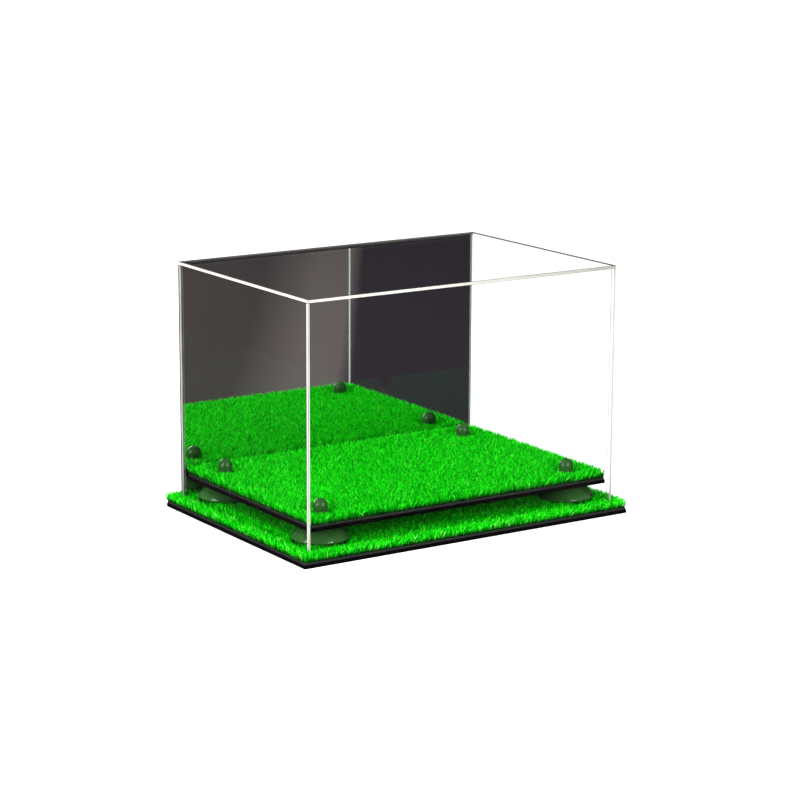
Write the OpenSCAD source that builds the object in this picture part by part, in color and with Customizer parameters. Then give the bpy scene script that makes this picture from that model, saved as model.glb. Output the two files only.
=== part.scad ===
// Table-top display case for a football, a glove or a ball of that size.
// A clear five-sided cover with a mirror for its back wall stands in a groove in a turfed base.
// Inside, a turfed deck is held above the base by four domed risers, each clamped by a screw and a cap nut.
// The origin is the centre of the base plate's underside. +Z is up and the front faces -Y.

/* [Cover] */
// Outside width of the cover
cover_w = 318; // [240:1:450]
// Outside depth of the cover, from the front panel to the mirror's paint
cover_d = 222; // [180:1:350]
// Height of the cover above the base plate
cover_h = 222; // [120:1:400]
// Thickness of the clear panels
panel_t = 3; // [2:0.1:6]

/* [Mirror] */
// Thickness of the mirror's clear sheet
mirror_sheet_t = 2.5; // [1.5:0.1:5]
// Thickness of the silver film behind the sheet
silver_t = 0.2; // [0.1:0.05:0.5]
// Thickness of the black paint behind the film
paint_t = 0.3; // [0.1:0.05:0.5]

/* [Base] */
// Reach of the base plate past the cover on every side
base_margin = 10; // [6:0.5:30]
// Thickness of the black base plate
base_t = 3; // [3:0.5:8]
// Corner radius of the base plate and of the deck plate
corner_r = 1; // [0.5:0.1:3]

/* [Turf] */
// Thickness of the turf's black backing
backing_t = 2; // [1:0.5:4]
// Height of the grass above its backing
pile_h = 9; // [5:0.5:16]
// Set-back of the turf's backing from the edge of its plate
turf_inset = 0.8; // [0:0.1:3]
// Set-back of the grass from the edge of its backing
pile_inset = 0.8; // [0.2:0.1:2]
// Clearance on each side of the cover's walls in the groove
groove_gap = 0.75; // [0.3:0.05:2]
// Clearance between the grass and the risers and cap nuts that stand in it
grass_gap = 0.5; // [0.2:0.1:3]

/* [Deck] */
// Gap between the deck and the inside of the cover on every side
deck_gap = 1; // [0.5:0.1:10]
// Thickness of the black deck plate
deck_t = 3; // [2:0.5:8]

/* [Risers] */
// Diameter of a riser's rim
riser_d = 50; // [30:1:66]
// Clear height between the lower grass and the deck
riser_gap = 12.6; // [8:0.1:60]
// Wall of a riser's shell
riser_wall = 2.4; // [1.6:0.1:4]
// Diameter of the flat on top of a riser
riser_top_d = 12; // [9:0.5:16]
// Set-back of a riser's rim from the deck's edge
riser_edge = 0.4; // [0:0.1:30]
// Slope of a riser's dome: 1 is a quarter ellipse, and more is leaner
dome_power = 1.2; // [0.8:0.05:1.6]

/* [Screws] */
// Diameter of the screws
screw_d = 5; // [4:0.5:6]
// Pitch of their thread
screw_pitch = 0.8; // [0.7:0.1:1]
// Length of thread held by a cap nut
thread_grip = 8.4; // [6:0.1:12]
// Radial clearance of the holes that a screw passes through
hole_gap = 0.15; // [0.1:0.05:0.5]

/* [Cap nuts] */
// Diameter of a cap nut
cap_d = 13; // [11:0.5:16]
// Height of a cap nut
cap_h = 15.7; // [14.5:0.1:20]
// Wall of the brass insert around the screw
insert_wall = 1.4; // [1:0.1:1.8]
// Radial running clearance of the insert on its screw
run_gap = 0.06; // [0.02:0.01:0.1]
// Height of the insert's foot above the cap nut's seat
insert_foot = 0.4; // [0.2:0.1:1]
// Room above the insert for the screw's tip
tip_room = 1.2; // [0.6:0.1:1.5]

/* [Hidden] */
$fn = 64;
eps = 0.01;

// Plan of the cover and of what stands inside it
mirror_t = mirror_sheet_t + silver_t + paint_t;
inside_w = cover_w - 2 * panel_t;
inside_d = cover_d - panel_t - mirror_t;
inside_y = (panel_t - mirror_t) / 2;
base_w = cover_w + 2 * base_margin;
base_d = cover_d + 2 * base_margin;
deck_w = inside_w - 2 * deck_gap;
deck_d = inside_d - 2 * deck_gap;
field_w = inside_w - 2 * groove_gap;
field_d = inside_d - 2 * groove_gap;
strip_w = base_margin - turf_inset - groove_gap;
strip_x = cover_w / 2 + groove_gap + strip_w / 2;
strip_y = cover_d / 2 + groove_gap + strip_w / 2;
riser_x = deck_w / 2 - riser_edge - riser_d / 2;
riser_y = deck_d / 2 - riser_edge - riser_d / 2;

// Heights of the stack
base_top = base_t;
field_top = base_top + backing_t;
riser_h = pile_h + riser_gap;
deck_bottom = field_top + riser_h;
deck_top = deck_bottom + deck_t;
cap_seat = deck_top + backing_t;
screw_len = cap_seat + thread_grip;

// Fasteners
hole_d = screw_d + 2 * hole_gap;
head_d = 1.84 * screw_d;
head_rim = 0.3;
head_cone = (head_d - screw_d) / 2;
recess_w = 0.18 * screw_d;
recess_l = 0.9 * screw_d;
recess_depth = 0.26 * screw_d;
thread_depth = 0.45 * screw_pitch;
thread_start = 0.5;
tip_chamfer = 0.5;
thread_turns = floor((thread_grip - thread_start - tip_chamfer) / screw_pitch);
insert_bore_r = screw_d / 2 + run_gap;
insert_r = insert_bore_r + insert_wall;

black_acrylic = "#15151a";
backing_black = "#1c1f1c";
grass_green = "#12a012";
riser_green = "#2c4a38";
clear_acrylic = [0.92, 0.96, 0.98, 0.25];
mirror_grey = "#c9ccd0";
screw_steel = "#9a9da1";
insert_brass = "#b08d45";

// A flat plate with round corners, centred, standing on z = 0
module plate(w, d, t, r) {
    translate([-w / 2 + r, -d / 2, 0]) cube([w - 2 * r, d, t]);
    translate([-w / 2, -d / 2 + r, 0]) cube([w, d - 2 * r, t]);
    for (sx = [-1, 1], sy = [-1, 1])
        translate([sx * (w / 2 - r), sy * (d / 2 - r), 0]) cylinder(r = r, h = t);
}

// A slab centred in X and Y, standing on z = 0
module slab(w, d, t) {
    translate([-w / 2, -d / 2, 0]) cube([w, d, t]);
}

// Children at the four riser axes, inside the cover's own centre line
module at_risers() {
    for (sx = [-1, 1], sy = [-1, 1]) at_riser(sx, sy) children();
}

module at_riser(sx, sy) {
    translate([sx * riser_x, inside_y + sy * riser_y, 0]) children();
}

// The hole that a screw passes through in a plate or a backing of thickness t
module screw_hole(t) {
    translate([0, 0, -eps]) cylinder(d = hole_d, h = t + 2 * eps);
}

// A piece of turf: its backing with the set-back block of grass on it
module turf(w, d) {
    slab(w, d, backing_t);
    translate([0, 0, backing_t - eps]) slab(w - 2 * pile_inset, d - 2 * pile_inset, pile_h + eps);
}

module base_plate() {
    color(black_acrylic) difference() {
        plate(base_w, base_d, base_t, corner_r);
        at_risers() {
            screw_hole(base_t);
            countersink(hole_gap);
        }
    }
}

// The cone and rim of a countersunk head, grown by gap
module countersink(gap) {
    r = head_d / 2 + gap;
    translate([0, 0, -gap]) cylinder(r = r, h = head_rim + gap);
    translate([0, 0, head_rim - eps]) cylinder(r1 = r, r2 = screw_d / 2 + gap, h = head_cone + eps);
}

// The grass is cut away where the risers stand on the backing
module base_turf_field() {
    color(grass_green) difference() {
        translate([0, inside_y, base_top]) turf(field_w, field_d);
        at_risers() {
            translate([0, 0, base_top]) screw_hole(backing_t);
            translate([0, 0, field_top]) cylinder(d = riser_d + 2 * grass_gap, h = pile_h + 1);
        }
    }
}

// The front and back strips run the full width, and the side strips fit between them
module turf_strip_long(side) {
    color(grass_green) translate([0, side * strip_y, base_top]) turf(2 * strip_x + strip_w, strip_w);
}

module turf_strip_short(side) {
    color(grass_green) translate([side * strip_x, 0, base_top]) turf(strip_w, 2 * strip_y - strip_w);
}

// A dome's outline, from radius rim at height foot to radius top, rise above it
function dome(rim, top, foot, rise, steps = 24) = [
    for (i = [0:steps]) let (a = 90 * i / steps)
        [top + (rim - top) * pow(cos(a), dome_power), foot + rise * pow(sin(a), dome_power)]
];

// A domed shell on a rim as deep as the grass, with a boss for the screw down its middle
module riser() {
    rim = riser_d / 2;
    top = riser_top_d / 2;
    edge = riser_wall / 3;
    color(riser_green) difference() {
        rotate_extrude() polygon(concat(
            [[0, 0], [rim - edge, 0], [rim, edge]],
            dome(rim, top, pile_h, riser_gap),
            [[0, riser_h]]
        ));
        difference() {
            translate([0, 0, -eps]) rotate_extrude() polygon(concat(
                [[0, 0], [rim - riser_wall, 0]],
                dome(rim - riser_wall, top, pile_h, riser_gap - riser_wall),
                [[0, riser_h - riser_wall]]
            ));
            cylinder(d = riser_top_d, h = riser_h);
        }
        screw_hole(riser_h);
    }
}

module riser_at(sx, sy) {
    at_riser(sx, sy) translate([0, 0, field_top]) riser();
}

module deck_plate() {
    color(black_acrylic) difference() {
        translate([0, inside_y, deck_bottom]) plate(deck_w, deck_d, deck_t, corner_r);
        at_risers() translate([0, 0, deck_bottom]) screw_hole(deck_t);
    }
}

// The grass is cut away under the cap nuts, which stand on the backing
module deck_turf() {
    color(grass_green) difference() {
        translate([0, inside_y, deck_top]) turf(deck_w - 2 * turf_inset, deck_d - 2 * turf_inset);
        at_risers() {
            translate([0, 0, deck_top]) screw_hole(backing_t);
            translate([0, 0, cap_seat]) cylinder(d = cap_d + 2 * grass_gap, h = pile_h + 1);
        }
    }
}

// Ring grooves stand for the thread that the insert grips
function thread_profile() = [
    for (i = [0:thread_turns - 1]) let (z = cap_seat + thread_start + i * screw_pitch)
        each [
            [screw_d / 2, z],
            [screw_d / 2 - thread_depth, z + screw_pitch / 2]
        ]
];

module screw() {
    color(screw_steel) difference() {
        union() {
            countersink(0);
            rotate_extrude() polygon(concat(
                [[0, head_rim], [screw_d / 2, head_rim]],
                thread_profile(),
                [[screw_d / 2, screw_len - tip_chamfer]],
                [[screw_d / 2 - tip_chamfer, screw_len], [0, screw_len]]
            ));
        }
        for (turn = [0, 90]) rotate([0, 0, turn]) translate([0, 0, -eps])
            slab(recess_l, recess_w, recess_depth + eps);
    }
}

// A brass sleeve fixed in its cap, whose bore runs on the screw
module insert() {
    color(insert_brass) translate([0, 0, cap_seat + insert_foot]) difference() {
        cylinder(r = insert_r, h = thread_grip);
        translate([0, 0, -eps]) cylinder(r = insert_bore_r, h = thread_grip + 2 * eps);
    }
}

// A bullet-shaped cap: a straight skirt under a half ball, moulded round the insert and open below
module cap() {
    r = cap_d / 2;
    skirt = cap_h - r;
    socket = insert_foot + thread_grip;
    edge = 0.4;
    color(riser_green) translate([0, 0, cap_seat]) difference() {
        rotate_extrude() polygon(concat(
            [[0, 0], [r - edge, 0], [r, edge]],
            [for (i = [0:24]) let (a = 90 * i / 24) [r * cos(a), skirt + r * sin(a)]]
        ));
        translate([0, 0, -eps]) cylinder(r = insert_r, h = socket + eps);
        translate([0, 0, socket - eps]) cylinder(r = insert_bore_r, h = tip_room + eps);
    }
}

module front_panel() {
    color(clear_acrylic) translate([0, -cover_d / 2 + panel_t / 2, base_top])
        slab(cover_w, panel_t, cover_h - panel_t);
}

module side_panel(side) {
    color(clear_acrylic) translate([side * (cover_w - panel_t) / 2, panel_t / 2, base_top])
        slab(panel_t, cover_d - panel_t, cover_h - panel_t);
}

module top_panel() {
    color(clear_acrylic) translate([0, 0, base_top + cover_h - panel_t]) slab(cover_w, cover_d, panel_t);
}

// One layer of the mirror, between the side panels, whose back is this far in front of the cover's back
module mirror_layer(back, t, tint) {
    color(tint) translate([0, cover_d / 2 - back - t / 2, base_top]) slab(inside_w, t, cover_h - panel_t);
}

base_plate();
base_turf_field();
turf_strip_long(-1);  // turf_strip_front
turf_strip_long(1);  // turf_strip_back
turf_strip_short(-1);  // turf_strip_left
turf_strip_short(1);  // turf_strip_right
riser_at(-1, -1);  // riser_front_left
riser_at(1, -1);  // riser_front_right
riser_at(-1, 1);  // riser_back_left
riser_at(1, 1);  // riser_back_right
deck_plate();
deck_turf();
at_riser(-1, -1) screw();  // screw_front_left
at_riser(1, -1) screw();  // screw_front_right
at_riser(-1, 1) screw();  // screw_back_left
at_riser(1, 1) screw();  // screw_back_right
at_riser(-1, -1) insert();  // insert_front_left
at_riser(1, -1) insert();  // insert_front_right
at_riser(-1, 1) insert();  // insert_back_left
at_riser(1, 1) insert();  // insert_back_right
at_riser(-1, -1) cap();  // cap_front_left
at_riser(1, -1) cap();  // cap_front_right
at_riser(-1, 1) cap();  // cap_back_left
at_riser(1, 1) cap();  // cap_back_right
front_panel();
side_panel(-1);  // left_panel
side_panel(1);  // right_panel
top_panel();
mirror_layer(paint_t + silver_t, mirror_sheet_t, clear_acrylic);  // mirror_sheet
mirror_layer(paint_t, silver_t, mirror_grey);  // mirror_silver
mirror_layer(0, paint_t, black_acrylic);  // mirror_paint
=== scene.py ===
"""The display case's looks: clear cover with polished edges, mirror back, two levels of artificial turf."""

import math

import bmesh
import bpy
import numpy as np
from mathutils import Matrix, Vector


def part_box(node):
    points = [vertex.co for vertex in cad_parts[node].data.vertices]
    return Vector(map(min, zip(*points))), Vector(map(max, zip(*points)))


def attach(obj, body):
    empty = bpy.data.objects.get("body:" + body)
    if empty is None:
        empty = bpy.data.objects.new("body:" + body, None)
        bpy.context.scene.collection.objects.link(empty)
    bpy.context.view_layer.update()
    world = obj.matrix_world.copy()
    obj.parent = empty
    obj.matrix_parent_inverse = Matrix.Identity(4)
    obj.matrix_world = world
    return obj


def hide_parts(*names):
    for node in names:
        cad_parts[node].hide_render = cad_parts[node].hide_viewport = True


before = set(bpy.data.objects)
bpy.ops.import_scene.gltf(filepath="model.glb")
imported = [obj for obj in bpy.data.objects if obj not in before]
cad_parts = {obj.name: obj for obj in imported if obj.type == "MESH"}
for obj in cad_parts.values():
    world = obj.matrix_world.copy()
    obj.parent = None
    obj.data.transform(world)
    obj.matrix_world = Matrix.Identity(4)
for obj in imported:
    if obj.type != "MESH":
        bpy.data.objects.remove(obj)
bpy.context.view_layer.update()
scene = bpy.context.scene
MM = 0.001


# ---------------------------------------------------------------- shader helpers

class Shader:
    """A material's node tree, with short calls for the nodes that the materials below share."""

    def __init__(self, name):
        self.material = bpy.data.materials.new(name)
        self.material.use_nodes = True
        self.tree = self.material.node_tree
        self.tree.nodes.clear()
        self.out = self.tree.nodes.new("ShaderNodeOutputMaterial")

    def node(self, kind, values=None, **settings):
        n = self.tree.nodes.new("ShaderNode" + kind)
        for key, value in settings.items():
            setattr(n, key, value)
        for key, value in (values or {}).items():
            self.put(n.inputs[key], value)
        return n

    def put(self, socket, value):
        if isinstance(value, bpy.types.NodeSocket):
            self.tree.links.new(value, socket)
        else:
            socket.default_value = value

    def place(self):
        """Coordinates in metres, fixed to the piece."""
        return self.node("TexCoord").outputs["Object"]

    def noise(self, scale, detail=3.0, roughness=0.5, vector=None):
        return self.node("TexNoise", {
            "Vector": vector or self.place(), "Scale": scale, "Detail": detail, "Roughness": roughness,
        }).outputs["Fac"]

    def ramp(self, fac, stops):
        n = self.node("ValToRGB", {"Fac": fac})
        while len(n.color_ramp.elements) < len(stops):
            n.color_ramp.elements.new(1.0)
        for element, (position, colour) in zip(n.color_ramp.elements, stops):
            element.position = position
            element.color = (*colour, 1.0)
        return n.outputs["Color"]

    def spread(self, fac, low, high):
        return self.node("MapRange", {"Value": fac, "To Min": low, "To Max": high}).outputs["Result"]

    def mix(self, fac, a, b):
        return self.node("MixShader", {0: fac, 1: a, 2: b}).outputs[0]

    def bump(self, height, strength, distance):
        return self.node("Bump", {
            "Height": height, "Strength": strength, "Distance": distance,
        }).outputs["Normal"]

    def principled(self, **values):
        named = {key.replace("_", " ").title().replace("Ior", "IOR"): v for key, v in values.items()}
        return self.node("BsdfPrincipled", named).outputs["BSDF"]

    def done(self, surface):
        self.put(self.out.inputs["Surface"], surface)
        return self.material


# ---------------------------------------------------------------- materials

ACRYLIC_IOR = 1.49
ACRYLIC_SHINE = 0.2    # share of the full reflection, as under a polarising filter


def clear_acrylic():
    """Clear sheet. Each face mirrors by Fresnel's law and lets the rest straight through."""
    s = Shader("clear_acrylic")
    back = s.node("NewGeometry").outputs["Backfacing"]
    ior = s.spread(back, ACRYLIC_IOR, 1 / ACRYLIC_IOR)
    fresnel = s.node("Fresnel", {"IOR": ior}).outputs[0]
    share = s.node("Math", {0: fresnel, 1: ACRYLIC_SHINE}, operation="MULTIPLY").outputs[0]
    smears = s.spread(s.noise(35, 4, 0.6), 0.0, 0.03)
    shine = s.node("BsdfAnisotropic", {"Color": (1, 1, 1, 1), "Roughness": smears}).outputs[0]
    through = s.node("BsdfTransparent", {"Color": (0.99, 0.995, 0.99, 1)}).outputs[0]
    return s.done(s.mix(share, through, shine))


FADE = (-0.05, 0.15)    # metres to the right, between which an edge's painted light fades to its far share


def edge_painted_light_and_shade(name, colour, low=0.86, glow=0.35, far=1.0):
    """The sawn and polished edge of a clear sheet. Its tone is painted light and shade: it stands in for
    the light that the sheet carries to the edge. far is what is left of it at the right, away from the
    brighter light."""
    s = Shader(name)
    streaks = s.noise(260, 2, 0.5, s.node("Mapping", {
        "Vector": s.place(), "Scale": (0.15, 0.15, 0.15),
    }).outputs[0])
    tone = s.ramp(streaks, [(0.3, [c * low for c in colour]), (0.7, colour)])
    across = s.node("SeparateXYZ", {"Vector": s.place()}).outputs["X"]
    fall = s.node("MapRange", {"Value": across, "From Min": FADE[0], "From Max": FADE[1]}).outputs["Result"]
    faded = (*[c * far for c in colour], 1)
    tone = s.node("MixRGB", {"Fac": fall, "Color1": tone, "Color2": faded}).outputs[0]
    body = s.principled(base_color=tone, roughness=0.2, specular_ior_level=0.3)
    lit = s.node("BsdfTranslucent", {"Color": tone}).outputs[0]
    return s.done(s.mix(glow, body, lit))


def mirror_film():
    s = Shader("mirror_film")
    haze = s.spread(s.noise(20, 4, 0.6), 0.0, 0.012)
    return s.done(s.principled(base_color=(0.84, 0.86, 0.87, 1), metallic=1.0, roughness=haze))


def mirror_paint():
    """Sprayed black backing with a fine orange-peel."""
    s = Shader("mirror_backing_paint")
    peel = s.noise(900, 2)
    tone = s.ramp(s.noise(12, 4), [(0.3, (0.016, 0.016, 0.018)), (0.75, (0.03, 0.03, 0.033))])
    return s.done(s.principled(
        base_color=tone, roughness=s.spread(s.noise(60, 3), 0.38, 0.55),
        normal=s.bump(peel, 0.25, 0.00006)))


def black_acrylic():
    """Gloss black sheet with hairline scratches and a little dust."""
    s = Shader("black_acrylic")
    hairs = s.noise(900, 2, 0.5, s.node("Mapping", {
        "Vector": s.place(), "Rotation": (0, 0, 0.5), "Scale": (0.05, 1.0, 1.0),
    }).outputs[0])
    tone = s.ramp(s.noise(400, 3), [(0.45, (0.0008, 0.0006, 0.0012)), (0.8, (0.003, 0.0024, 0.0035))])
    return s.done(s.principled(
        base_color=tone, roughness=s.spread(hairs, 0.06, 0.16), specular_ior_level=0.2,
        normal=s.bump(hairs, 0.05, 0.00003)))


def backing_rubber():
    """The turf's black latex backing."""
    s = Shader("turf_backing")
    grain = s.noise(1400, 3, 0.6)
    tone = s.ramp(grain, [(0.3, (0.004, 0.006, 0.004)), (0.75, (0.02, 0.024, 0.02))])
    return s.done(s.principled(base_color=tone, roughness=0.75, normal=s.bump(grain, 0.5, 0.0002)))


def grass():
    """Polyethylene blades. Across the blade map each tone has its own column, and a blade runs up it from
    the root. The palest columns are painted highlights, and blades are painted darker towards the root as
    shade."""
    s = Shader("turf_blades")
    place = s.node("SeparateXYZ", {"Vector": s.node("UVMap", uv_map="blade").outputs[0]})
    own, along = place.outputs["X"], place.outputs["Y"]
    # The last stops, the palest tones, are painted highlights.
    tone = s.ramp(own, [
        (0.0, (0.0, 0.12, 0.001)), (0.25, (0.0, 0.34, 0.002)), (0.5, (0.001, 0.60, 0.003)),
        (0.75, (0.004, 0.86, 0.004)), (0.93, (0.05, 1.0, 0.02)), (1.0, (0.34, 1.0, 0.18))])
    # Painted shade: blades are painted darker towards their roots, up to a wavy height.
    ripple = s.spread(s.noise(700, 2), -0.12, 0.12)
    up = s.node("MapRange", {
        "Value": s.node("Math", {0: along, 1: ripple}, operation="ADD").outputs[0],
        "From Min": 0.05, "From Max": 0.6, "To Min": 0.0, "To Max": 1.0,
    }).outputs["Result"]
    shade = s.node("MixRGB", {"Fac": up, "Color1": (0.0, 0.03, 0.001, 1), "Color2": tone}).outputs[0]
    body = s.principled(
        base_color=shade, roughness=s.spread(own, 0.25, 0.4), specular_ior_level=0.11)
    glow = s.node("BsdfTranslucent", {"Color": shade}).outputs[0]
    return s.done(s.mix(0.3, body, glow))


def green_plastic(name, colour, lighter, coat=0.3, low=0.1, high=0.2):
    """Dark green moulded plastic, slightly see-through near the surface, with a high gloss."""
    s = Shader(name)
    flow = s.noise(90, 3, 0.55)
    tone = s.ramp(flow, [(0.3, colour), (0.75, lighter)])
    ripple = s.noise(160, 2)
    return s.done(s.principled(
        base_color=tone, roughness=s.spread(s.noise(500, 2), low, high), subsurface_weight=0.25,
        subsurface_radius=(0.4, 1.0, 0.5), subsurface_scale=0.002, coat_weight=coat, coat_roughness=0.05,
        normal=s.bump(ripple, 0.12, 0.0002)))


def metal(name, colour, low, high):
    """Machined metal with fine turning marks."""
    s = Shader(name)
    marks = s.noise(3000, 2)
    return s.done(s.principled(
        base_color=(*colour, 1), metallic=1.0, roughness=s.spread(marks, low, high),
        normal=s.bump(marks, 0.2, 0.00003)))


def wear_material(node, material):
    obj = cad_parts[node]
    obj.data.materials.clear()
    obj.data.materials.append(material)
    return obj


# ---------------------------------------------------------------- mesh helpers

def rounded_box(name, low, high, radius, materials, body, segments=2, pick=None, cuts=()):
    """A box with rounded edges. pick gives a face's material number from its normal, its centre and whether
    it is one of the flat faces. cuts are (axis, place) planes that split its faces."""
    bm = bmesh.new()
    bmesh.ops.create_cube(bm, size=1.0)
    for v in bm.verts:
        v.co = Vector([lo if c < 0 else hi for c, lo, hi in zip(v.co, low, high)])
    flat = bm.faces.layers.int.new("flat")
    for face in bm.faces:
        face[flat] = 1
    made = bmesh.ops.bevel(
        bm, geom=bm.edges[:], offset=radius, segments=segments, affect="EDGES", profile=0.5)
    for face in made["faces"]:
        face[flat] = 0
    for axis, place in cuts:
        at, way = Vector((0, 0, 0)), Vector((0, 0, 0))
        at[axis], way[axis] = place, 1
        bmesh.ops.bisect_plane(bm, geom=bm.verts[:] + bm.edges[:] + bm.faces[:], plane_co=at, plane_no=way)
    bm.normal_update()
    for face in bm.faces:
        centre = face.calc_center_median()
        face.material_index = pick(face.normal, centre, face[flat]) if pick else 0
        face.smooth = segments > 1 and not face[flat]
    mesh = bpy.data.meshes.new(name)
    bm.to_mesh(mesh)
    bm.free()
    obj = bpy.data.objects.new(name, mesh)
    scene.collection.objects.link(obj)
    for material in materials:
        mesh.materials.append(material)
    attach(obj, body)
    return obj


def lathe(name, outline, centre, material, body, sides=96):
    """A smooth solid of revolution about the vertical through centre. outline holds (radius, height)
    pairs."""
    bm = bmesh.new()
    rings = []
    for radius, height in outline:
        if radius < 1e-7:
            rings.append([bm.verts.new((centre[0], centre[1], height))])
            continue
        turn = [2 * math.pi * i / sides for i in range(sides)]
        rings.append([
            bm.verts.new((centre[0] + radius * math.cos(a), centre[1] + radius * math.sin(a), height))
            for a in turn])
    for lower, upper in zip(rings, rings[1:]):
        for i in range(sides):
            j = (i + 1) % sides
            corners = [lower[k % len(lower)] for k in (i, j)] + [upper[k % len(upper)] for k in (j, i)]
            bm.faces.new(list(dict.fromkeys(corners)))
    for face in bm.faces:
        face.smooth = True
    bmesh.ops.recalc_face_normals(bm, faces=bm.faces[:])
    mesh = bpy.data.meshes.new(name)
    bm.to_mesh(mesh)
    bm.free()
    mesh.materials.append(material)
    obj = bpy.data.objects.new(name, mesh)
    scene.collection.objects.link(obj)
    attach(obj, body)
    return obj


# ---------------------------------------------------------------- places, from the frame

CORNERS = ("front_left", "front_right", "back_left", "back_right")


def middle(node):
    low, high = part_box(node)
    return (low + high) / 2


def axis_of(corner):
    centre = middle("riser_" + corner)
    return np.array([centre.x, centre.y])


AXES = [axis_of(c) for c in CORNERS]
RISER_R = (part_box("riser_front_left")[1].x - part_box("riser_front_left")[0].x) / 2
CAP_R = (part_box("cap_front_left")[1].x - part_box("cap_front_left")[0].x) / 2
COVER_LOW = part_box("left_panel")[0].x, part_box("front_panel")[0].y
COVER_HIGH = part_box("right_panel")[1].x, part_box("mirror_paint")[1].y
INSIDE_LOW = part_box("left_panel")[1].x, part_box("front_panel")[1].y
INSIDE_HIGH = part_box("right_panel")[0].x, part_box("mirror_sheet")[0].y


# ---------------------------------------------------------------- cover

JOINT_GAP = 0.01 * MM
CHAMFER = 0.35 * MM
LEFT_GLOW_REACH = 1.3 * MM        # how far in from its left end the front sheet's faces are painted bright, a painted glow down the front left corner
STREAK = 1.1 * MM      # the dark line down the left panel's rear end
TOP_LINE = 1.5 * MM    # the line along the top of the top panel's rear and right ends
# Material numbers. Every one but CLEAR is a painted edge tone, painted light and shade.
CLEAR, BRIGHT, LINE, DARK, PALE, SHADE, FAINT = range(7)
AXIS = {"x": 0, "y": 1, "z": 2}


def points(normal, ways):
    """Whether a normal points all the ways named, such as "-y+z"."""
    pairs = zip(ways[::2], ways[1::2])
    return all(normal[AXIS[axis]] * (1 if sign == "+" else -1) > 0.3 for sign, axis in pairs)


def panel(node, thin, ends, bevels=None, left_glow=False, cut=None):
    """A clear sheet with polished edges, a hair smaller than its CAD solid so that no faces coincide.
    thin is the sheet's thin axis. ends gives a material to each end such as "-x". bevels gives one to the
    chamfers that face such ways, the first that fits. The left joint's flag gives the faces near the left
    end a painted glow.
    cut is an (axis, place) plane across the ends, and an end with two materials has the first below it."""
    low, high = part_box(node)
    low = low + Vector([JOINT_GAP] * 3)
    high = high - Vector([JOINT_GAP] * 3)
    cuts = [(0, low.x + LEFT_GLOW_REACH)] if left_glow else []
    if cut:
        cuts.append(cut)

    def pick(normal, centre, flat):
        if not flat:
            return next((m for ways, m in (bevels or {}).items() if points(normal, ways)), LINE)
        axis = max(range(3), key=lambda i: abs(normal[i]))
        if axis == AXIS[thin]:
            return BRIGHT if left_glow and centre.x < low.x + LEFT_GLOW_REACH else CLEAR
        material = ends.get(("+" if normal[axis] > 0 else "-") + "xyz"[axis], BRIGHT)
        if isinstance(material, tuple):
            return material[int(centre[cut[0]] > cut[1])]
        return material

    obj = rounded_box(
        node + "_sheet", low, high, CHAMFER, acrylic_set, "cover", segments=1, pick=pick, cuts=cuts)
    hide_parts(node)
    return obj


# After the clear sheet come the edge tones, painted light and shade: they stand in for light carried to the
# edges and for the shade there.
acrylic_set = [
    clear_acrylic(),
    edge_painted_light_and_shade("edge_painted_light_and_shade", (0.66, 0.65, 0.60), far=0.5),
    edge_painted_light_and_shade("chamfer_line", (0.10, 0.10, 0.09), 0.8),
    edge_painted_light_and_shade("dark_edge", (0.007, 0.006, 0.007), 0.7, glow=0.0),
    edge_painted_light_and_shade("pale_edge", (0.42, 0.41, 0.40), 0.8, far=0.5),
    edge_painted_light_and_shade("shaded_edge", (0.032, 0.029, 0.03), 0.7, glow=0.0),
    edge_painted_light_and_shade("faint_edge", (0.44, 0.44, 0.43)),
]
top_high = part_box("top_panel")[1].z
left_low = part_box("left_panel")[0].x
panel("front_panel", "y", {"+z": CLEAR, "+x": FAINT}, {"+z": CLEAR, "+x": FAINT}, left_glow=True)
panel("left_panel", "x", {"+y": (DARK, PALE), "+z": CLEAR}, {"+z": CLEAR, "-x+y": DARK},
      cut=(0, left_low + STREAK))
panel("right_panel", "x", {"+y": PALE, "-y": CLEAR, "+z": CLEAR}, {"+z": CLEAR, "+x": CLEAR, "-y": LINE})
panel("top_panel", "z", {"+y": (SHADE, LINE), "+x": (CLEAR, LINE)},
      {"+y-z": SHADE, "-y-z": LINE, "-z": CLEAR}, cut=(2, top_high - TOP_LINE))
panel("mirror_sheet", "y", {"-x": CLEAR, "+x": CLEAR, "+z": DARK}, {"+z": DARK, "-z": DARK, "+x": CLEAR})
wear_material("mirror_silver", mirror_film())
wear_material("mirror_paint", mirror_paint())


# ---------------------------------------------------------------- plates, risers, screws and cap nuts

gloss_black = black_acrylic()
wear_material("base_plate", gloss_black)
wear_material("deck_plate", gloss_black)

riser_green = green_plastic("riser_plastic", (0.017, 0.067, 0.014), (0.027, 0.090, 0.022))
cap_green = green_plastic("cap_plastic", (0.012, 0.054, 0.010), (0.022, 0.080, 0.017), 0.1, 0.2, 0.3)
steel = metal("screw_steel", (0.56, 0.57, 0.58), 0.2, 0.38)
brass = metal("insert_brass", (0.72, 0.52, 0.24), 0.22, 0.4)

RISER_EDGE = 1.5 * MM     # the rim's rounding
RISER_TOP_R = 6 * MM      # the flat on top of the dome
RIM_SLOPE = 32            # degrees from upright, where the dome leaves the rim
CAP_EDGE = 0.4 * MM       # the rounding at a cap nut's foot


def arc(centre_r, centre_z, radius, start, end, steps):
    """Points of a circular arc, in degrees from straight out."""
    angles = np.radians(np.linspace(start, end, steps))
    return [(centre_r + radius * math.cos(a), centre_z + radius * math.sin(a)) for a in angles]


def bezier(a, b, c, steps):
    """A quadratic curve from a to c, pulled towards b."""
    return [((1 - s) ** 2 * a[0] + 2 * s * (1 - s) * b[0] + s * s * c[0],
             (1 - s) ** 2 * a[1] + 2 * s * (1 - s) * b[1] + s * s * c[1]) for s in np.linspace(0, 1, steps)]


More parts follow.
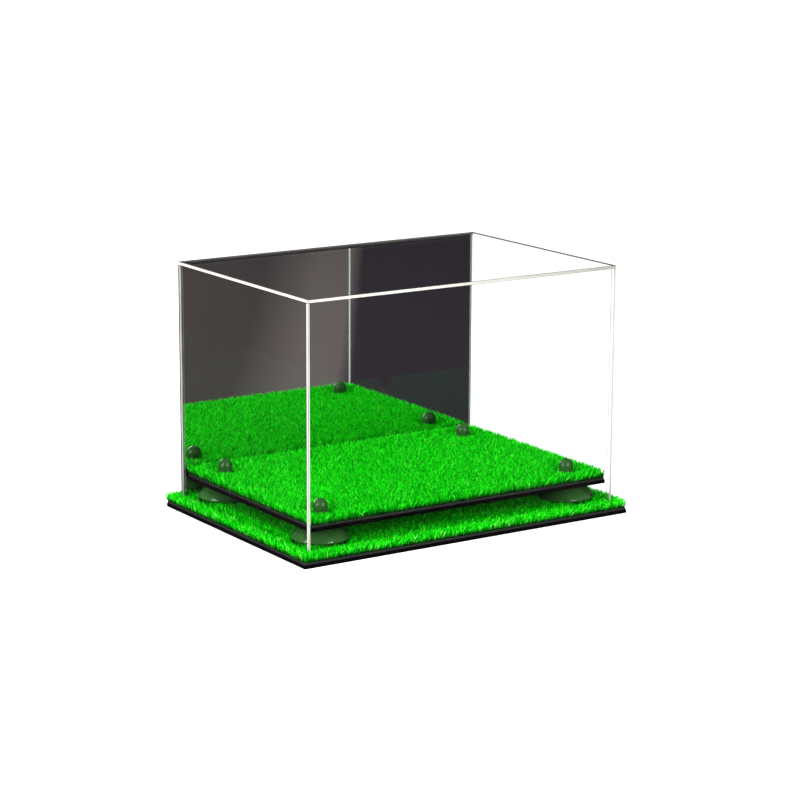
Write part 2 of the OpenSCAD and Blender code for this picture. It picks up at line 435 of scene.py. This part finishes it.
def riser(corner):
    """A dome over a rounded rim. The rim stands a little above the lower grass, and draws in below."""
    node = "riser_" + corner
    low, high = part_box(node)
    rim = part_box("base_turf_field")[1].z
    side = arc(RISER_R - RISER_EDGE, rim, RISER_EDGE, -50, RIM_SLOPE, 14)
    start = side[-1]
    rise = high.z - start[1]
    pull = start[0] - rise * math.tan(math.radians(RIM_SLOPE)), high.z
    outline = [(0, low.z), (RISER_R - 3 * RISER_EDGE, low.z)]
    outline += side + bezier(start, pull, (RISER_TOP_R, high.z), 24)[1:] + [(0, high.z)]
    obj = lathe(node + "_dome", outline, middle(node), riser_green, "base")
    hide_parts(node)
    return obj


def cap(corner):
    """A bullet-shaped cap nut: a straight skirt under a half ball."""
    node = "cap_" + corner
    low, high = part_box(node)
    shoulder = high.z - CAP_R
    outline = [(0, low.z)] + arc(CAP_R - CAP_EDGE, low.z + CAP_EDGE, CAP_EDGE, -90, 0, 6)
    outline += arc(0, shoulder, CAP_R, 0, 90, 32)[:-1] + [(0, high.z)]
    obj = lathe(node + "_ball", outline, middle(node), cap_green, "cap_nut_" + corner)
    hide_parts(node)
    return obj


for corner in CORNERS:
    riser(corner)
    cap(corner)
    wear_material("screw_" + corner, steel)
    wear_material("insert_" + corner, brass)


# ---------------------------------------------------------------- turf

BACKING = 2.0 * MM
BLADE_W = (0.75 * MM, 1.35 * MM)
BLADE_L = (0.85, 1.25)     # as a share of the pile
TAPER = (1.0, 0.95, 0.75, 0.0)    # a blade's width from root to tip, as a share
BEND = (0.1, 1.25)        # how far a blade turns over from root to tip, in radians
GRAIN = np.array([-0.05, -0.08])    # the way the whole pile leans
FRINGE = 3.5 * MM          # how far in from an edge the blades splay outwards
SPLAY = (0.3, 1.5)         # how far they splay, in radians
MOST_BEND = 2.1            # and how far any blade may turn over
TWIST = 1.3                # how far a blade may face away from the way it bends, in radians
CURL = 0.9                 # how far it may twist from one level to the next
PARTING = 4 * MM           # how far out from a post the blades lean away from it
RISER_TUCK = 0.5 * MM      # how far under a riser's rim the roots reach
EDGE_REACH = 1.6 * MM      # how far an edge blade may hang past the grass's edge
WELL = 1.8 * MM            # bare backing round a cap nut
PRESSED = 12 * MM          # how far out from a cap nut the pile is pressed down
PRESSED_TO = 0.42          # to this share of its height
PILE_INSET = 0.3 * MM      # how far in from a backing's edge the first roots stand
BACKING_EDGE = 0.25 * MM   # the rounding of a backing's edges
INSIDE_GAP = 0.3 * MM      # how far blades stay off the cover's inside
WALL_GAP = 0.5 * MM        # and off its outside
CORE_DEPTH = 45 * MM
TONES = 48
# The inside leaves out the two palest tone columns, which are painted highlights.
INNER_TONES = (0, 46)
OUTER_TONES = (7, 48)      # the border is the brighter, painted light: it leaves out the darkest tone columns


def grow(rng, low, high, density, keep=None):
    """Root places, about density to a square millimetre, jittered on a grid."""
    pitch = MM / math.sqrt(density)
    xs = np.arange(low[0], high[0], pitch)
    ys = np.arange(low[1], high[1], pitch)
    grid = np.stack(np.meshgrid(xs, ys), -1).reshape(-1, 2)
    roots = grid + rng.uniform(0, pitch, grid.shape)
    inside = np.all((roots > low) & (roots < high), axis=1)
    roots = roots[inside]
    return roots[keep(roots, rng)] if keep else roots


def near(roots, axes, radius):
    """For each root: its distance past radius from the nearest axis, and the way straight out from that
    axis."""
    gaps = roots[:, None, :] - np.array(axes)[None, :, :]
    distance = np.linalg.norm(gaps, axis=2)
    nearest = distance.argmin(axis=1)
    rows = np.arange(len(roots))
    out = gaps[rows, nearest] / np.maximum(distance[rows, nearest, None], 1e-9)
    return distance[rows, nearest] - radius, out


def pulls(rng, roots, edge, posts, post_r):
    """Which way and how far each blade bends: at random, with the grain, outwards at an edge, away from a
    post."""
    count = len(roots)
    azimuth = rng.uniform(0, 2 * math.pi, count)
    pull = rng.uniform(*BEND, count)[:, None] * np.stack([np.cos(azimuth), np.sin(azimuth)], 1) + GRAIN
    for axis in (0, 1):
        for side, limit in ((-1, edge[0][axis]), (1, edge[1][axis])):
            depth = np.abs(limit - roots[:, axis])
            close = np.clip(1 - depth / FRINGE, 0, 1)
            pull[:, axis] += side * close * rng.uniform(*SPLAY, count)
    if len(posts):
        past, out = near(roots, posts, post_r)
        close = np.clip(1 - past / PARTING, 0, 1)[:, None]
        inward = np.minimum((pull * out).sum(1, keepdims=True), 0)
        pull += out * close * (rng.uniform(0.1, 0.8, (count, 1)) - inward)
    return pull


def centre_lines(pull, roots, base_z, length, pile, room):
    """Four points up each blade, which turns over further and further, within the room it has."""
    bend = np.linalg.norm(pull, axis=1)
    way = pull / np.maximum(bend, 1e-9)[:, None]
    segments = len(TAPER) - 1
    points = np.zeros((len(roots), segments + 1, 3))
    points[:, 0, :2] = roots
    for k in range(segments):
        angle = np.minimum(bend, MOST_BEND) * (0.15 + 0.85 * (k + 0.5) / segments)
        step = np.concatenate([way * np.sin(angle)[:, None], np.cos(angle)[:, None]], 1)
        points[:, k + 1] = points[:, k] + step * (length / segments)[:, None]
    top = points[:, :, 2].max(axis=1)
    points[:, :, 2] *= np.minimum(1, pile / top)[:, None]
    points[:, :, 2] = np.maximum(points[:, :, 2] + base_z, base_z - 0.5 * BACKING)
    points[:, :, :2] = np.clip(points[:, :, :2], room[0], room[1])
    return points, way


def blades(name, rng, roots, base_z, pile, edge, room, tones, posts=(), post_r=0.0):
    """Grass blades on the given roots. edge is the grass's own (low, high), room the (low, high) that
    blades stay in and tones the range of tone columns. posts are the axes of round things of radius
    post_r, which the blades part round."""
    count, levels = len(roots), len(TAPER)
    pull = pulls(rng, roots, edge, posts, post_r)
    length = pile * rng.uniform(*BLADE_L, count)
    if len(posts) and post_r < RISER_R / 2:
        past = near(roots, posts, post_r)[0]
        length *= PRESSED_TO + (1 - PRESSED_TO) * np.clip(past / PRESSED, 0, 1) ** 1.5
    points, way = centre_lines(pull, roots, base_z, length, pile, room)
    side = np.stack([-way[:, 1], way[:, 0], np.zeros(count)], 1)
    facing, curl = rng.uniform(-TWIST, TWIST, count), rng.uniform(-CURL, CURL, count)
    turn = facing[:, None] + curl[:, None] * np.arange(levels)
    half = rng.uniform(*BLADE_W, count) / 2
    front = np.concatenate([way, np.zeros((count, 1))], 1)
    across = side[:, None] * np.cos(turn)[..., None] + front[:, None] * np.sin(turn)[..., None]
    across *= half[:, None, None] * np.array(TAPER)[:, None]
    left, right = points - across, points + across
    corners = np.stack([left, right], 2).reshape(count, -1, 3)[:, :-1]
    corners[:, :, :2] = np.clip(corners[:, :, :2], room[0], room[1])
    order = [0, 1, 3, 2, 2, 3, 5, 4, 4, 5, 6]
    per = corners.shape[1]
    tone = rng.integers(*tones, count)
    column = np.array([0.1, 0.9] * (levels - 1) + [0.5])
    row = np.array([k / (levels - 1) for k in range(levels - 1) for _ in (0, 1)] + [1.0])
    spot = np.stack([(tone[:, None] + column) / TONES, np.broadcast_to(row, (count, per))], 2)
    mesh = bpy.data.meshes.new(name)
    mesh.vertices.add(count * per)
    mesh.vertices.foreach_set("co", corners.ravel())
    mesh.loops.add(count * len(order))
    mesh.loops.foreach_set("vertex_index", (per * np.arange(count)[:, None] + order).ravel())
    mesh.polygons.add(count * 3)
    starts = len(order) * np.arange(count)[:, None] + [0, 4, 8]
    mesh.polygons.foreach_set("loop_start", starts.ravel())
    mesh.update(calc_edges=True)
    for layer in ("blade", "OFBake"):
        mesh.uv_layers.new(name=layer).data.foreach_set("uv", spot[:, order].ravel())
    mesh.materials.append(blade_green)
    mesh.validate()
    obj = bpy.data.objects.new(name, mesh)
    scene.collection.objects.link(obj)
    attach(obj, "base")
    return obj


def backing(node, material):
    """The black sheet that the blades are tufted into. It stands for the CAD node."""
    low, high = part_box(node)
    high = Vector((high.x, high.y, low.z + BACKING))
    obj = rounded_box(node + "_backing", low, high, BACKING_EDGE, [material], "base")
    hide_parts(node)
    return obj


def on_plan(corner):
    return np.array([corner[0], corner[1]])


def inner_turf(node, room, posts, post_r, seed, pieces=3, core=0.0, density=1.25):
    """Grass on one level inside the cover, in pieces side by side. core is the share of blades left out
    further than CORE_DEPTH in from the edges, where only the deck's underside faces them."""
    low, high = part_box(node)
    base_z = low.z + BACKING
    edge = on_plan(low) + PILE_INSET, on_plan(high) - PILE_INSET
    backing(node, rubber)

    def rooted(roots, rng):
        depth = np.minimum(roots - edge[0], edge[1] - roots).min(axis=1)
        kept = (depth < CORE_DEPTH) | (rng.uniform(0, 1, len(roots)) >= core)
        return kept & (near(roots, posts, post_r)[0] > 0)

    bounds = np.linspace(edge[0][0], edge[1][0], pieces + 1)
    for number in range(pieces):
        rng = np.random.default_rng(seed + number)
        start = np.array([bounds[number], edge[0][1]])
        stop = np.array([bounds[number + 1], edge[1][1]])
        roots = grow(rng, start, stop, density, rooted)
        blades(f"{node}_blades_{number + 1}", rng, roots, base_z, high.z - base_z, edge, room,
               INNER_TONES, posts, post_r)


def outer_turf(node, long_axis, seed, density=1.7):
    """Grass on a strip outside the cover. Tips stay off the cover's wall and may hang past the grass's
    outer edge."""
    low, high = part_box(node)
    base_z = low.z + BACKING
    rng = np.random.default_rng(seed)
    start, stop = on_plan(low) + PILE_INSET, on_plan(high) - PILE_INSET
    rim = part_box("turf_strip_front")[1].x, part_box("turf_strip_back")[1].y
    edge = -np.array(rim), np.array(rim)
    room = [np.maximum(start - EDGE_REACH, edge[0] - EDGE_REACH), np.minimum(stop, edge[1]) + EDGE_REACH]
    side = 1 - long_axis
    if low[side] > 0:
        room[0][side] = COVER_HIGH[side] + WALL_GAP
    else:
        room[1][side] = COVER_LOW[side] - WALL_GAP
    backing(node, rubber)
    roots = grow(rng, start, stop, density)
    blades(node + "_blades", rng, roots, base_z, high.z - base_z, edge, room, OUTER_TONES)


rubber = backing_rubber()
blade_green = grass()
room_inside = on_plan(INSIDE_LOW) + INSIDE_GAP, on_plan(INSIDE_HIGH) - INSIDE_GAP
inner_turf("deck_turf", room_inside, AXES, CAP_R + WELL, 11)
inner_turf("base_turf_field", room_inside, AXES, RISER_R - RISER_TUCK, 21, core=0.5)
outer_turf("turf_strip_front", 0, 31)
outer_turf("turf_strip_back", 0, 32)
outer_turf("turf_strip_left", 1, 33)
outer_turf("turf_strip_right", 1, 34)


# ---------------------------------------------------------------- stage, lights and camera

CAMERA_AZIMUTH, CAMERA_ELEVATION, CAMERA_ROLL = -33.29, 12.68, 0.24    # degrees
CAMERA_DISTANCE = 2.361
CAMERA_SHIFT = 0.0039, 0.0987    # metres right and up, from straight at the origin
CAMERA_LENS = 117.7
WORLD_STRENGTH = 1.2
DIM_LEFT = (0.034, 0.027, 0.028)     # the floor's painted reflection: tones that only mirrored rays see
DIM_NEAR = (0.078, 0.065, 0.065)
DIM_FAR = (0.018, 0.0145, 0.0195)
DIM_ROOM = (0.03, 0.028, 0.03)       # and the room's
DIM_SLANT = 0.657                    # how far the floor's tones shift to the left with each metre back
DIM_SPAN = (-0.1, 0.2)               # metres, between which they change


def on_sphere(azimuth, elevation, distance):
    a, e = math.radians(azimuth), math.radians(elevation)
    return distance * Vector((math.sin(a) * math.cos(e), -math.cos(a) * math.cos(e), math.sin(e)))


def add_camera():
    back = on_sphere(CAMERA_AZIMUTH, CAMERA_ELEVATION, 1.0)
    right = Vector((0, 0, 1)).cross(back).normalized()
    up = back.cross(right)
    r = math.radians(CAMERA_ROLL)
    right, up = right * math.cos(r) + up * math.sin(r), up * math.cos(r) - right * math.sin(r)
    data = bpy.data.cameras.new("camera")
    data.lens = CAMERA_LENS
    data.sensor_width = 36
    data.clip_end = 200
    obj = bpy.data.objects.new("camera", data)
    turn = Matrix((right, up, back)).transposed().to_4x4()
    place = back * CAMERA_DISTANCE + right * CAMERA_SHIFT[0] + up * CAMERA_SHIFT[1]
    obj.matrix_world = Matrix.Translation(place) @ turn
    scene.collection.objects.link(obj)
    scene.camera = obj


def add_softbox(name, azimuth, elevation, distance, width, height, power, target=(0, 0, 0.1)):
    data = bpy.data.lights.new(name, "AREA")
    data.shape = "RECTANGLE"
    data.size, data.size_y = width, height
    data.energy = power
    obj = bpy.data.objects.new(name, data)
    place = Vector(target) + on_sphere(azimuth, elevation, distance)
    aim = (Vector(target) - place).to_track_quat("-Z", "Y")
    obj.matrix_world = Matrix.Translation(place) @ aim.to_matrix().to_4x4()
    scene.collection.objects.link(obj)
    return obj


def add_floor():
    """A pale floor. Mirrored rays see dark tones on it instead, a painted reflection of the studio beyond a
    white
    sweep: dark grey at the left, then a lighter stretch, and the darkest past it to the right."""
    s = Shader("floor")
    mirrored = s.node("LightPath").outputs["Is Glossy Ray"]
    pale = s.node("BsdfDiffuse", {"Color": s.ramp(s.noise(3), [
        (0.3, (0.90, 0.90, 0.90)), (0.7, (0.92, 0.92, 0.92))])}).outputs[0]
    place = s.node("SeparateXYZ", {"Vector": s.place()})
    past = s.node("Math", {
        0: place.outputs["Y"], 1: DIM_SLANT, 2: place.outputs["X"]}, operation="MULTIPLY_ADD")
    wobble = s.spread(s.noise(2.2, 2), -0.006, 0.006)
    band = s.node("MapRange", {
        "Value": s.node("Math", {0: past.outputs[0], 1: wobble}, operation="ADD").outputs[0],
        "From Min": DIM_SPAN[0], "From Max": DIM_SPAN[1],
    }).outputs["Result"]
    dark = s.node("BsdfDiffuse", {"Color": s.ramp(band, [
        (0.1, DIM_LEFT), (0.38, DIM_NEAR), (0.55, DIM_NEAR), (0.62, DIM_FAR)])}).outputs[0]
    bm = bmesh.new()
    bmesh.ops.create_grid(bm, x_segments=8, y_segments=8, size=30)
    mesh = bpy.data.meshes.new("floor")
    bm.to_mesh(mesh)
    bm.free()
    mesh.materials.append(s.done(s.mix(mirrored, pale, dark)))
    obj = bpy.data.objects.new("floor", mesh)
    scene.collection.objects.link(obj)


def add_world():
    """Soft white light from all round, which mirrored rays see as a dim room."""
    world = bpy.data.worlds.new("studio")
    world.use_nodes = True
    tree = world.node_tree
    tree.nodes.clear()
    out = tree.nodes.new("ShaderNodeOutputWorld")
    path = tree.nodes.new("ShaderNodeLightPath")
    white = tree.nodes.new("ShaderNodeBackground")
    white.inputs["Color"].default_value = (1.0, 1.0, 1.0, 1)
    white.inputs["Strength"].default_value = WORLD_STRENGTH
    dim = tree.nodes.new("ShaderNodeBackground")
    dim.inputs["Color"].default_value = (*DIM_ROOM, 1)
    mix = tree.nodes.new("ShaderNodeMixShader")
    tree.links.new(path.outputs["Is Glossy Ray"], mix.inputs[0])
    tree.links.new(white.outputs[0], mix.inputs[1])
    tree.links.new(dim.outputs[0], mix.inputs[2])
    tree.links.new(mix.outputs[0], out.inputs["Surface"])
    scene.world = world


add_camera()
add_floor()
add_world()
add_softbox("key", -62, 52, 1.8, 0.6, 0.6, 35).visible_glossy = False
add_softbox("left_strip", -86, 18, 1.4, 0.5, 1.0, 10)
add_softbox("front_strip", 4, 18, 1.4, 0.42, 1.0, 8.5)
scene.view_settings.view_transform = "Standard"
scene.cycles.transparent_max_bounces = 24
